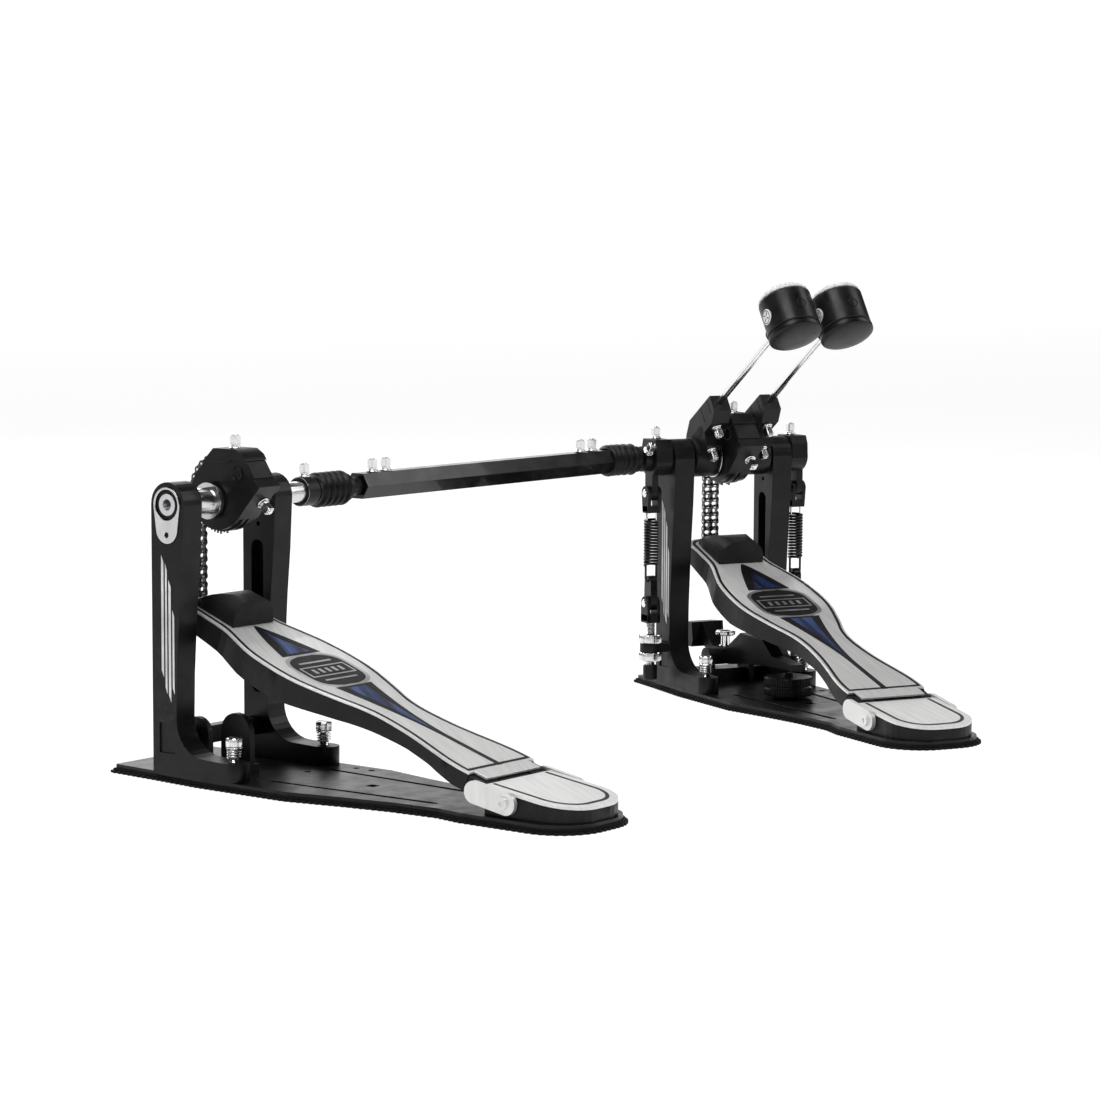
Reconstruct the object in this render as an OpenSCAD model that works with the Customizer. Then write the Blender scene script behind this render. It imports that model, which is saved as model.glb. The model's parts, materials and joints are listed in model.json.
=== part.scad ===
// Double bass drum pedal: a main pedal that carries two beaters, and a slave pedal that
// drives the left beater through a telescoping linkage with a universal joint at each end.
// Millimetres. +X right, +Y toward the drum, +Z up. The origin is on the floor, under the
// middle of the main pedal's axle. Both pedals share the same modules: each is drawn in its
// own frame, and in_slave() places the second one.

/* [Stance] */
// Height of the axle above the floor
axle_h = 205; // [195:1:215]
// Turn of the slave pedal, seen from above
slave_yaw = 25.5; // [15:0.5:35]
// From the slave pedal's middle to the main universal joint, along the linkage
linkage_len = 496.4; // [470:0.1:560]

/* [Base] */
// Thickness of the rubber mat under the base plate
mat_t = 3.5; // [2:0.5:5]
// Thickness of the steel base plate
plate_t = 3; // [2:0.5:4]

/* [Uprights] */
// Distance between the inner faces of the two uprights
upright_gap = 79; // [76:1:84]
// Thickness of an upright
upright_t = 19; // [18:0.5:20]
// Radius of the upright's top, round the axle
upright_top_r = 16.5; // [15:0.5:18]

/* [Footboard] */
// Slope of the footboard at rest
board_tilt = 18.9; // [18:0.05:20]
// Length of the silver tread from its heel edge to its toe
board_len = 302; // [296:1:306]

/* [Drive] */
// Radius of the axle
axle_r = 8; // [7:0.5:8]
// Pitch of the drive chain
chain_pitch = 6.35; // [6:0.05:6.5]
// Radius of the chain's pitch line on the cam
cam_pitch_r = 29; // [28:0.5:30]

/* [Beaters] */
// Distance between the two beater rods
beater_gap = 50; // [49:1:52]
// Radius of a beater head
head_r = 22.3; // [20:0.1:22.5]
// Angle of the beater rods above level at rest
rod_angle = 34; // [30:1:38]

/* [Hidden] */
$fn = 64;
plate_top = mat_t + plate_t;
inner_x = upright_gap / 2;
outer_x = inner_x + upright_t;
upright_mid_x = inner_x + upright_t / 2;
run_gap = 0.05;
slave_x = -105 - linkage_len * cos(slave_yaw);
slave_y = -linkage_len * sin(slave_yaw);
ujoint_x = -105;
bearing_r = 11.2;

// footboard frame: s runs up the board from its heel edge, z is square to its top face
board_heel_y = -268;
board_heel_z = 33.5;
hinge_y = -272;
hinge_z = 24;
hinge_s = (hinge_y - board_heel_y) * cos(board_tilt) + (hinge_z - board_heel_z) * sin(board_tilt);
hinge_n = (hinge_z - board_heel_z) * cos(board_tilt) - (hinge_y - board_heel_y) * sin(board_tilt);
hinge_pin_r = 3.5;
knuckle_r = 5.4;
lug_r = 5;
face_t = 2;

// chain and cam, in the plane square to the axle
strand_y = 25;
strand_links = 13;
cam_center = [strand_y - cam_pitch_r, 4];
chain_w = 15;
cam_body_r = cam_pitch_r - 1.75;
strand_top_z = axle_h + cam_center[1];
strand_low_z = strand_top_z - strand_links * chain_pitch;
anchor_r = 1.6;
anchor_s = (strand_y - board_heel_y) * cos(board_tilt) + (strand_low_z - board_heel_z) * sin(board_tilt);
anchor_n = (strand_low_z - board_heel_z) * cos(board_tilt) - (strand_y - board_heel_y) * sin(board_tilt);

// beater rods
rod_r = 3;
rod_offset = 23;
clamp_end = 56;
rod_start = 14;
rod_len = 190;
head_t = 193;

// springs
spring_x = 73;
rocker_pin_z = axle_h - 30;
anchor_pin_z = 79;
nut_r = 10;

// spurs
spur_y = -56;
foot_top_z = 20.5;

// ---------- helpers ----------

function arc(c, r, a0, a1, n = 8) =
    [for (i = [0:n]) let (a = a0 + (a1 - a0) * i / n) c + r * [cos(a), sin(a)]];
function catmull(a, b, c, d, t) =
    0.5 * (2 * b + (c - a) * t + (2 * a - 5 * b + 4 * c - d) * t * t + (3 * b - a - 3 * c + d) * t * t * t);
function spline(p, n = 3) = concat(
    [for (i = [0:len(p) - 2]) for (k = [0:n - 1])
        catmull(p[max(i - 1, 0)], p[i], p[i + 1], p[min(i + 2, len(p) - 1)], k / n)],
    [p[len(p) - 1]]);
function flip(p) = [for (i = [len(p) - 1:-1:0]) [-p[i][0], p[i][1]]];

module in_slave() {
    translate([slave_x, slave_y, 0]) rotate([0, 0, slave_yaw]) children();
}

module both_sides() {
    children();
    mirror([1, 0, 0]) children();
}

// an outline drawn in (y, z), given the thickness t along +X from x0
module side_plate(x0, t) {
    translate([x0, 0, 0]) rotate([90, 0, 90]) linear_extrude(t) children();
}

module bar_x(r, x0, x1) {
    translate([x0, 0, 0]) rotate([0, 90, 0]) cylinder(r = r, h = x1 - x0);
}

module at_axle() {
    translate([0, 0, axle_h]) children();
}

module in_board() {
    translate([0, board_heel_y, board_heel_z]) rotate([board_tilt, 0, 0]) children();
}

// rod frame: +Z runs up the rod, +Y is square to it on the drum side
module in_rod(x) {
    at_axle() translate([x, 0, 0]) rotate([90 - rod_angle, 0, 0]) translate([0, rod_offset, 0]) children();
}

// square-headed key bolt standing on its washer, along +Z
module key_bolt() {
    cylinder(r = 5, h = 1.6);
    translate([-3.1, -3.1, 1.5]) cube([6.2, 6.2, 8.5]);
    translate([0, 0, 9.9]) cylinder(r = 2.6, h = 1.1);
}

// ---------- base ----------

heel_center_y = -323.5;
function base_outline(g) = let (
    side = [[51 + g, 62 + g], [54 + g, 17], [58 + g, -30], [58 + g, -115], [48 + g, -160],
        [41 + g, -200], [38 + g, -240], [42 + g, -262]],
    half = concat(side, arc([9, heel_center_y + 1], 33 + g, 0, -90, 8))
) concat(half, flip(half));

module base_plate() {
    color("dimgray") difference() {
        translate([0, 0, mat_t]) linear_extrude(plate_t) polygon(base_outline(0));
        both_sides() plate_groove();
        for (p = [[48, -104, 2.6], [48, -89, 2.6], [14, -71, 2.6]])
            translate([p[0], p[1], 0]) cylinder(r = p[2], h = 20);
        translate([-4, -150, 0]) cube([8, 8, 20]);
        both_sides() translate([upright_mid_x, spur_y, 0]) cylinder(r = 5, h = 20);
    }
}

module plate_groove() {
    translate([0, 0, plate_top - 1.5]) linear_extrude(5)
        polygon([[30, -76], [34, -76], [27, -224], [24, -228], [22, -224]]);
}

module base_mat() {
    color("black") difference() {
        linear_extrude(mat_t) polygon(base_outline(2.5));
        both_sides() translate([upright_mid_x, spur_y, -1]) cylinder(r = 5, h = 20);
    }
}

// ---------- uprights ----------

function upright_outline() = concat(
    [[16, plate_top]],
    arc([0, axle_h], upright_top_r, 0, 180, 14),
    [[-14.5, axle_h - 40], [-11.5, 130], [-8.5, 80]],
    arc([-33.8, 47], 26, 0, -90, 8),
    [[-51, foot_top_z], [-70, foot_top_z], [-70, plate_top]]);

module upright() {
    difference() {
        intersection() {
            side_plate(inner_x, upright_t) polygon(upright_outline());
            union() {
                translate([inner_x, -59, 0]) cube([upright_t, 100, 260]);
                translate([upright_mid_x, -59, 0]) cylinder(r = upright_t / 2, h = 60);
            }
        }
        at_axle() bar_x(bearing_r, inner_x - 1, outer_x + 1);
        // long pocket in the inner face, with round ends
        translate([0, 2, 62]) bar_x(6, inner_x - 1, inner_x + 8);
        translate([0, 2, 166]) bar_x(6, inner_x - 1, inner_x + 8);
        translate([inner_x - 1, -4, 62]) cube([9, 12, 104]);
        translate([0, 1, 184]) bar_x(1.8, inner_x - 1, inner_x + 9);
        translate([outer_x - 1.2, -6, 22]) cube([5, 15.5, 22.5]);
        translate([upright_mid_x, spur_y, 0]) cylinder(r = 4 + run_gap, h = 60);
    }
}

module upright_pair() {
    color([0.09, 0.09, 0.1]) both_sides() upright();
}

module spring_bracket() {
    difference() {
        union() {
            translate([outer_x, -8, 36.5]) cube([spring_x - outer_x, 16, 7.5]);
            translate([spring_x, 0, 36.5]) cylinder(r = 9, h = 7.5);
        }
        translate([spring_x, 0, 30]) cylinder(r = 4 + run_gap, h = 30);
    }
}

module bearings() {
    color("silver") both_sides() at_axle() difference() {
        bar_x(bearing_r - run_gap, inner_x + 1, outer_x - 0.8);
        bar_x(axle_r + run_gap, inner_x, outer_x);
    }
}

// teardrop plate that covers the outer bearing on the slave pedal's open side
module bearing_cover() {
    color("silver") difference() {
        side_plate(-outer_x - 1.4, 1.4)
            polygon(concat(arc([0, axle_h], 13, -8, 188, 16), arc([0, 187], 10.5, 190, 350, 12)));
        at_axle() bar_x(bearing_r, -outer_x - 3, -outer_x + 3);
        translate([0, 0, 183]) bar_x(2, -outer_x - 3, -outer_x + 3);
    }
}

// ---------- heel ----------

heel_front_y = -279;
function heel_outline() = let (half = concat([[37, heel_front_y]], arc([7, heel_center_y], 30, 0, -90, 8)))
    concat(half, flip(half));
function heel_top(y) = 28.1 + 0.142 * (y + 277);

module heel_solid(z_low, z_drop) {
    intersection() {
        linear_extrude(60) polygon(heel_outline());
        side_plate(-60, 120)
            polygon([[heel_front_y, z_low[0]], [heel_front_y, heel_top(heel_front_y) - z_drop],
                [-370, heel_top(-370) - z_drop], [-370, z_low[1]]]);
    }
}

module heel_block() {
    color([0.08, 0.08, 0.08]) difference() {
        union() {
            heel_solid([plate_top, plate_top], face_t);
            translate([-17, heel_front_y - 1, plate_top]) cube([34, 7, hinge_z - plate_top]);
            translate([0, hinge_y, hinge_z]) bar_x(lug_r, -17, 17);
        }
        translate([0, hinge_y, hinge_z]) bar_x(hinge_pin_r, -20, 20);
    }
}

module heel_plate() {
    color("silver") heel_solid([heel_top(heel_front_y) - face_t, heel_top(-370) - face_t], 0);
}

module heel_hinge() {
    color("silver") {
        translate([0, hinge_y, hinge_z]) bar_x(hinge_pin_r, -37.4, 37.4);
        both_sides() difference() {
            union() {
                side_plate(37.5, 3.6) hull() {
                    translate([hinge_y, hinge_z - 2]) circle(r = 8, $fn = 32);
                    translate([-300, 17]) circle(r = 8, $fn = 32);
                }
                translate([0, -298, 17]) bar_x(4.6, 41, 43);
            }
            translate([42, -298, 17]) rotate([0, 90, 0]) cylinder(r = 2.2, h = 4, $fn = 6);
        }
    }
}

// ---------- footboard ----------

// half width against distance along the board
board_side = [[37, 3], [37, 14], [35, 30], [27.5, 65], [25, 95], [27.5, 115], [34.5, 135], [43, 165],
    [44.5, 190], [42, 215], [37, 232], [30.5, 253], [29.5, 279]];
// depth of the skirt against distance along the board
skirt_depth = [[0, 14], [14, 14], [41, 11], [67, 11], [141, 16.5], [182, 21], [224, 20.5], [272, 17.5],
    [board_len, 15]];
tread_sag = 3;
function sag(s) = -tread_sag * sin(180 * min(max(s, 0), board_len) / board_len);
function inset(p, d) = [for (q = p) [q[0] - d, q[1]]];
function board_outline(d) = let (
    half = concat([[30, -8], [30, 3 + d]], inset(spline(board_side), d),
        arc([17.5, board_len - 12 - d], 12, 0, 90, 6))
) concat(half, flip(half));
function top_line(drop) = [for (i = [0:20]) let (s = -8 + (board_len + 8) * i / 20) [s, sag(s) - drop]];
function skirt_line() = [for (i = [len(skirt_depth) - 1:-1:0])
    [skirt_depth[i][0], sag(skirt_depth[i][0]) - skirt_depth[i][1]]];

module board_slab(d, drop, low) {
    intersection() {
        translate([0, 0, -60]) linear_extrude(120) polygon(board_outline(d));
        side_plate(-60, 120) polygon(concat(top_line(drop), low));
    }
}

module footboard() {
    color([0.1, 0.1, 0.1]) in_board() difference() {
        union() {
            difference() {
                board_slab(0, face_t, skirt_line());
                intersection() {
                    translate([0, 0, -60]) linear_extrude(120)
                        polygon([for (p = board_outline(4)) [p[0], min(max(p[1], 8), board_len - 6)]]);
                    side_plate(-60, 120)
                        polygon(concat(top_line(face_t + 3.5), [[board_len, -60], [-8, -60]]));
                }
            }
            both_sides() {
                translate([0, hinge_s, hinge_n]) bar_x(knuckle_r, 18, 36.4);
                translate([18, hinge_s, hinge_n - 4]) cube([18.4, 14, 9]);
                translate([8.4, board_len - 10, -15]) cube([3, 18, 11]);
            }
            translate([0, anchor_s, anchor_n]) bar_x(anchor_r, -11.4, 11.4);
        }
        translate([0, hinge_s, hinge_n]) bar_x(hinge_pin_r + run_gap, -40, 40);
        translate([0, hinge_s, hinge_n]) bar_x(lug_r + 0.6, -17.6, 17.6);
    }
}

module footboard_face() {
    color("silver") in_board() board_slab(0.4, 0, [for (i = [20:-1:0]) top_line(face_t)[i]]);
}

// rubber block at the toe: flat face toward the heel, domed down toward the chain
module toe_stop() {
    color([0.05, 0.05, 0.05]) in_board() intersection() {
        translate([0, board_len - 2, 0]) rotate([90, 0, 0]) linear_extrude(52)
            polygon(concat([[22, -2]], arc([7, 2.5], 15, 0, 90, 8),
                arc([-7, 2.5], 15, 90, 180, 8), [[-22, -2]]));
        side_plate(-30, 60) polygon(concat(
            [[251, sag(251)], [254, 17.5], [260, 17.5]], arc([262, -20.5], 38, 85, 45, 6),
            [for (i = [20:-1:17]) top_line(0)[i] - [2, 0]]));
        translate([0, 0, -4]) linear_extrude(30)
            polygon([[-22, 249], [22, 249], [23.5, 270], [21, 292],
                [12, 300], [-12, 300], [-21, 292], [-23.5, 270]]);
    }
}

// ---------- chain, cam and axles ----------

// chain side bars and pins: the strand down to the toe, and the length wrapped over the cam
module chain() {
    color([0.35, 0.35, 0.36]) difference() {
        union() {
            for (x = [-chain_w / 2, -0.6, chain_w / 2 - 1.2])
                translate([x, strand_y - 2.6, strand_low_z - 2.6])
                    cube([1.2, 5.2, strand_links * chain_pitch + 3.8]);
            for (i = [1:strand_links])
                translate([0, strand_y, strand_low_z + i * chain_pitch])
                    bar_x(1.65, -chain_w / 2 + 0.4, chain_w / 2 - 0.4);
        }
        translate([0, strand_y, strand_low_z]) bar_x(anchor_r + run_gap, -20, 20);
    }
}

module chain_wrap() {
    color([0.35, 0.35, 0.36]) at_axle() translate([0, cam_center[0], cam_center[1]]) rotate([90, 0, 90]) {
        for (x = [-chain_w / 2, -0.6, chain_w / 2 - 1.2])
            translate([0, 0, x]) rotate([0, 0, 3]) rotate_extrude(angle = 81)
                translate([cam_pitch_r - 1.6, 0]) square([4.2, 1.2]);
        for (i = [1:6])
            rotate([0, 0, i * 12.6]) translate([cam_pitch_r, 0, -chain_w / 2 + 0.4])
                cylinder(r = 1.65, h = chain_w - 0.8);
    }
}

// clamp block in (y, z) about the axle: top flat, heel-side facets
hub_outline = [[10, 26], [4, 32], [-1.5, 38.3], [-24, 38.3], [-30, 34.4], [-41, 18], [-47, 12.2],
    [-25, -13], [0, -16], [12, 0]];

module cam() {
    color([0.1, 0.1, 0.1]) at_axle() difference() {
        union() {
            difference() {
                union() {
                    side_plate(-11, 22) polygon(hub_outline);
                    translate([0, cam_center[0], cam_center[1]]) bar_x(cam_body_r - 1.5, -11, 11);
                }
                // room for the chain round the drum side of the cam
                translate([0, cam_center[0], cam_center[1]]) difference() {
                    bar_x(60, -8.2, 8.2);
                    bar_x(cam_body_r, -9, 9);
                    translate([-20, -60, -60]) cube([40, 58, 120]);
                }
            }
            translate([0, cam_center[0], cam_center[1]]) bar_x(cam_body_r - 0.1, -5.2, -1.2);
            translate([0, cam_center[0], cam_center[1]]) bar_x(cam_body_r - 0.1, 1.2, 5.2);
        }
        bar_x(axle_r + run_gap, -20, 20);
    }
}

module cam_bolts() {
    at_axle() {
        translate([0, -13, 38.3]) key_bolt();
        translate([4, -36, -0.4]) rotate([131.12, 0, 0]) key_bolt();
    }
}

module main_axle_shaft() {
    color("silver") at_axle() {
        bar_x(axle_r, -12, 78);
        bar_x(5, -36, -11);
    }
}

module slave_axle_shaft() {
    color("silver") at_axle() difference() {
        union() {
            bar_x(axle_r, -outer_x - 0.6, 90);
            bar_x(10, -37, -16);
            bar_x(13.6, -17, -13);
        }
        bar_x(4.1, -70, -25);
    }
}

// drive sleeve of the left beater: it turns on the main axle's thin end
module left_drive_sleeve() {
    color("silver") at_axle() difference() {
        bar_x(axle_r, -78, -14.5);
        bar_x(5 + run_gap, -37, -10);
    }
}

// ---------- beaters ----------

// hub with an arm that holds the rod, about x = 0
module beater_hub() {
    color([0.08, 0.08, 0.08]) difference() {
        union() {
            at_axle() bar_x(17, -12, 12);
            in_rod(0) side_plate(-8.5, 17)
                polygon([[-2, 2], [6, 14], [6, clamp_end], [-9, clamp_end], [-16, 46], [-16, 31], [-28, 28],
                    [-28, 14], [-34, 6], [-30, -6], [-12, -6]]);
        }
        at_axle() bar_x(axle_r + run_gap, -20, 20);
        in_rod(0) translate([0, 0, 8]) cylinder(r = rod_r + run_gap, h = 60);
    }
}

module beater_hub_bolts() {
    in_rod(0) for (seat = [[-16, 39], [-28, 21]])
        translate([0, seat[0], seat[1]]) rotate([90, 0, 0]) key_bolt();
}

module beater_rod(x) {
    color("silver") in_rod(x) translate([0, 0, rod_start]) cylinder(r = rod_r, h = rod_len);
}

felt_seat = 16;
groove_at = 13.5;

// the head's own axis is square to the rod; +Y of the rod frame faces the drum
module beater_head(x) {
    color([0.08, 0.08, 0.08]) in_rod(x) translate([0, 0, head_t]) difference() {
        union() {
            rotate([90, 0, 0]) translate([0, 0, -felt_seat]) cylinder(r = head_r, h = felt_seat + groove_at);
            rotate([90, 0, 0]) translate([0, 0, groove_at - 0.1]) cylinder(r = head_r - 1.2, h = 1.5);
            rotate([90, 0, 0]) translate([0, 0, groove_at + 1.3]) cylinder(r = head_r + 0.4, h = 4);
            rotate([90, 0, 0]) translate([0, 0, groove_at + 5.2]) cylinder(r1 = head_r + 0.4, r2 = 15, h = 3.8);
            translate([0, 0, -head_r - 9]) cylinder(r = 7.5, h = 14);
        }
        translate([0, 0, -60]) cylinder(r = rod_r + run_gap, h = 63 + rod_len - head_t + rod_start);
    }
}

module beater_felt(x) {
    color("white") in_rod(x) translate([0, felt_seat, head_t]) rotate([-90, 0, 0]) {
        cylinder(r = head_r - 0.3, h = 4);
        translate([0, 0, 3.9]) cylinder(r1 = head_r - 0.3, r2 = head_r - 9, h = 5);
    }
}

// ---------- springs ----------

// rocker on the outer end of an axle, right-hand side
module rocker() {
    color([0.08, 0.08, 0.08]) at_axle() difference() {
        union() {
            side_plate(60, 16)
                polygon(concat([[14, 6], [11, 17], [-11, 17], [-14, 10]], arc([0, 0], 15, 190, 350, 12)));
            side_plate(70, 6) polygon(concat([[6.5, -8]], [[-6.5, -8]], arc([0, -30], 6.5, 180, 360, 12)));
        }
        bar_x(axle_r + run_gap, 50, 90);
        translate([0, 0, -30]) bar_x(2.5 + run_gap, 60, 90);
    }
}

module spring_link() {
    color([0.08, 0.08, 0.08]) {
        for (x = [66.6, 76.3])
            side_plate(x, 3.1) polygon(concat([[6.5, rocker_pin_z]],
                arc([0, rocker_pin_z], 6.5, 0, 180, 10), [[-4.5, 158], [4.5, 158]]));
        translate([66.6, -4.5, 158]) cube([12.8, 9, 6]);
        translate([0, 0, rocker_pin_z]) bar_x(2.5, 66.7, 79.3);
        for (s = [-1, 1]) translate([spring_x + s * 2.6, 0, 128]) cylinder(r = 0.9, h = 31);
    }
}

module spring() {
    color([0.2, 0.2, 0.21]) difference() {
        union() {
            translate([spring_x, 0, 112]) cylinder(r = 6.5, h = 41);
            for (s = [-1, 1]) translate([spring_x + s * 2.2, 0, 98]) cylinder(r = 1, h = 15);
            side_plate(70, 6)
                polygon(concat(arc([0, 97], 6, 0, 180, 8), arc([0, anchor_pin_z], 6.5, 180, 360, 12)));
        }
        translate([spring_x, 0, 114]) cylinder(r = 4.5, h = 60);
        translate([0, 0, anchor_pin_z]) bar_x(2.5 + run_gap, 60, 90);
    }
}

module tension_rod() {
    color([0.08, 0.08, 0.08]) {
        for (x = [66.6, 76.3])
            side_plate(x, 3.1)
                polygon(concat(arc([0, anchor_pin_z], 6.5, 0, 180, 10), [[-6.5, 62], [6.5, 62]]));
        translate([66.6, -6.5, 62]) cube([12.8, 13, 8]);
        translate([0, 0, anchor_pin_z]) bar_x(2.5, 66.7, 79.3);
        translate([spring_x, 0, 13]) cylinder(r = 4, h = 50);
        translate([spring_x, 0, 12]) cylinder(r = 6.2, h = 13);
    }
}

module tension_nuts() {
    color("silver") for (z = [28.8, 44.2]) translate([spring_x, 0, z]) difference() {
        cylinder(r = nut_r, h = 7.4);
        translate([0, 0, -1]) cylinder(r = 4 + run_gap, h = 12);
    }
}

// ---------- spurs and hoop clamp ----------

// threaded spur with the spring coils that keep it from turning
module spur() {
    color("silver") translate([upright_mid_x, spur_y, 0]) difference() {
        union() {
            translate([0, 0, 0.6]) cylinder(r1 = 0.8, r2 = 4, h = 6);
            translate([0, 0, 6.5]) cylinder(r = 4, h = 26);
            translate([0, 0, 31]) cylinder(r = 6, h = 7.4);
            for (i = [0:2]) translate([0, 0, 25 + i * 2.2]) cylinder(r = 4.9, h = 1.2);
        }
        translate([-7, -0.8, 36.4]) cube([14, 1.6, 4]);
    }
}

clamp_pivot = [-8, 30];
clamp_wheel_y = -112;

module hoop_clamp_bridge() {
    color([0.08, 0.08, 0.08]) {
        translate([-inner_x, -8, plate_top]) cube([2 * inner_x, 22, 12]);
        both_sides() side_plate(17, 5)
            polygon(concat([[6, plate_top + 6]], arc(clamp_pivot, 8, 0, 180, 10),
                [[-18, plate_top]], [[6, plate_top]]));
        translate([0, clamp_pivot[0], clamp_pivot[1]]) bar_x(3, -18, 18);
        // screw that the adjusting wheel turns on
        translate([0, clamp_wheel_y, plate_top]) cylinder(r = 14, h = 2.5);
        translate([0, clamp_wheel_y, plate_top]) cylinder(r = 4, h = 22);
    }
}

arm_outline = [[50, 38], [50, 54], [28, 56], [8, 37], [-14, 37], [-40, 54], [-78, 52], [-94, 40], [-126, 36.5],
    [-126, 31.5], [-92, 31], [-60, 29], [-20, 24], [6, 25], [28, 38]];

module hoop_clamp_arm() {
    color([0.12, 0.12, 0.12]) difference() {
        union() {
            side_plate(-6, 12) polygon(arm_outline);
            side_plate(-16, 32) polygon([[50, 38], [50, 54], [28, 56], [26, 40], [28, 34], [48, 34]]);
            translate([0, clamp_pivot[0], clamp_pivot[1]]) bar_x(7.5, -15, 15);
        }
        translate([0, clamp_pivot[0], clamp_pivot[1]]) bar_x(3 + run_gap, -20, 20);
    }
}

module hoop_clamp_wheel() {
    color([0.1, 0.1, 0.1]) translate([0, clamp_wheel_y, 0]) difference() {
        union() {
            translate([0, 0, 9.5]) cylinder(r = 21, h = 6.5);
            translate([0, 0, 16]) cylinder(r = 18.5, h = 2);
            translate([0, 0, 18]) cylinder(r = 21, h = 7);
        }
        translate([0, 0, 5]) cylinder(r = 4 + run_gap, h = 30);
    }
}

module hoop_clamp_thumbscrew() {
    color("silver") translate([0, -4, 37.8]) {
        cylinder(r = 5.5, h = 2);
        cylinder(r = 4, h = 11);
        translate([0, 0, 10]) cylinder(r = 9, h = 3.6);
    }
}

// round-topped jaws and cross bar between the slave pedal's uprights
module slave_jaws() {
    color([0.08, 0.08, 0.08]) {
        translate([-inner_x, 0, 24]) cube([2 * inner_x, 9, 13]);
        translate([-30, -50, plate_top]) cube([14, 50, 8]);
        side_plate(-26, 5) polygon(concat(arc([-36, 37], 14.5, 0, 180, 12), [[-50.5, plate_top + 7]],
            [[-21.5, plate_top + 7]]));
        side_plate(-26, 5) polygon(concat([[9, plate_top]], arc([4, 32], 13, 20, 180, 10), [[-9, plate_top]]));
    }
}

// ---------- linkage, drawn along +X of the slave frame at axle height ----------

slave_joint_s = 117;
tube_r = 11.4;
yoke_back = 12;
ear_low = 5.5;
ear_high = 8.6;

// yoke whose ears reach past the joint centre at x = 0, toward +X
module yoke() {
    bar_x(8.6, -yoke_back, -yoke_back + 3);
    for (m = [0, 1]) mirror([0, 0, m])
        translate([-yoke_back + 1, -3.4, ear_low]) cube([yoke_back + 2.4, 6.8, ear_high - ear_low]);
}

// six-sided bar with a flat on top
module hex_bar(r, x0, x1) {
    translate([x0, 0, 0]) rotate([0, 90, 0]) rotate([0, 0, 30]) cylinder(r = r, h = x1 - x0, $fn = 6);
}

module joint_cross() {
    color("silver") {
        cube([6, 6, 6], center = true);
        translate([0, 0, -5]) cylinder(r = 2, h = 10);
        rotate([90, 0, 0]) translate([0, 0, -5]) cylinder(r = 2, h = 10);
    }
}

module slave_coupler() {
    color([0.08, 0.08, 0.08]) at_axle() {
        bar_x(11, 84, 97);
        bar_x(5.5, 96.5, slave_joint_s - yoke_back + 1);
        translate([slave_joint_s, 0, 0]) yoke();
    }
}

module linkage_rod() {
    color([0.12, 0.12, 0.12]) at_axle() {
        translate([slave_joint_s, 0, 0]) mirror([1, 0, 0]) rotate([90, 0, 0]) yoke();
        bar_x(7.5, slave_joint_s + yoke_back - 1, 150);
        hex_bar(6.9, 149.5, 220);
    }
}

module linkage_tube() {
    color([0.07, 0.07, 0.07]) at_axle() {
        difference() {
            hex_bar(tube_r, 152, linkage_len - 22);
            hex_bar(7.05, 150, 270);
        }
        bar_x(6, linkage_len - 22, linkage_len - yoke_back + 1);
        translate([linkage_len, 0, 0]) rotate([90, 0, 0]) yoke();
    }
}

module linkage_bolts() {
    color("silver") at_axle() for (s = [170, 186, linkage_len - 56, linkage_len - 40])
        translate([s, 0, tube_r * cos(30)]) key_bolt();
}

function boot_profile(n, len, r_in, r_low, r_high) = concat(
    [[r_in, 0]],
    [for (i = [0:n - 1])
        each [[r_low, len * i / n], [r_high, len * (i + 0.3) / n], [r_high, len * (i + 0.7) / n]]],
    [[r_low, len], [r_in, len]]);

module slave_joint_boot() {
    color([0.05, 0.05, 0.05]) at_axle() translate([98, 0, 0]) rotate([0, 90, 0])
        rotate_extrude() polygon(boot_profile(5, 39, 9.6, 11, 13.6));
}

// bent sleeve, hollow, in two stretches that cross at the joint centre
module main_joint_boot() {
    color([0.05, 0.05, 0.05]) translate([ujoint_x, 0, axle_h]) difference() {
        boot_bend(13.4, 12.9, 0);
        boot_bend(11.2, 11, 10);
    }
}

module boot_bend(tube_side_r, axle_side_r, past) {
    rotate([0, 0, slave_yaw]) bar_x(tube_side_r, -21.7 - past, 4);
    bar_x(axle_side_r, -4, 16.9 + past);
}

module left_coupler() {
    color([0.08, 0.08, 0.08]) at_axle() {
        bar_x(11, -84, -76.3);
        bar_x(5.5, -94, -83.5);
        translate([ujoint_x, 0, 0]) mirror([1, 0, 0]) yoke();
    }
}

// ---------- nodes ----------

base_plate();  // main_base_plate
base_mat();  // main_base_mat
union() {  // main_uprights
    upright_pair();
    color([0.09, 0.09, 0.1]) both_sides() spring_bracket();
    hoop_clamp_bridge();
}
bearings();  // main_bearings
heel_block();  // main_heel_block
union() {  // main_heel_hinge
    heel_plate();
    heel_hinge();
}
hoop_clamp_arm();
hoop_clamp_wheel();
hoop_clamp_thumbscrew();
footboard();  // main_footboard
footboard_face();  // main_footboard_face
toe_stop();  // main_toe_stop
union() {  // main_chain
    chain();
    chain_wrap();
}
main_axle_shaft();
cam();  // main_cam
translate([beater_gap / 2, 0, 0]) beater_hub();  // right_beater_hub
rocker();  // right_rocker
color("silver") {  // main_key_bolts
    cam_bolts();
    translate([beater_gap / 2, 0, 0]) beater_hub_bolts();
    at_axle() translate([68, 3, 17]) key_bolt();
}
beater_rod(beater_gap / 2);  // right_beater_rod
beater_head(beater_gap / 2);  // right_beater_head
beater_felt(beater_gap / 2);  // right_beater_felt
union() {
    left_drive_sleeve();
    left_coupler();
}
translate([-beater_gap / 2, 0, 0]) beater_hub();  // left_beater_hub
mirror([1, 0, 0]) rocker();  // left_rocker
color("silver") {  // left_key_bolts
    translate([-beater_gap / 2, 0, 0]) beater_hub_bolts();
    at_axle() translate([-68, 3, 17]) key_bolt();
    at_axle() translate([-81, 0, 0]) rotate([50, 0, 0]) translate([0, 0, 11]) key_bolt();
}
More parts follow.
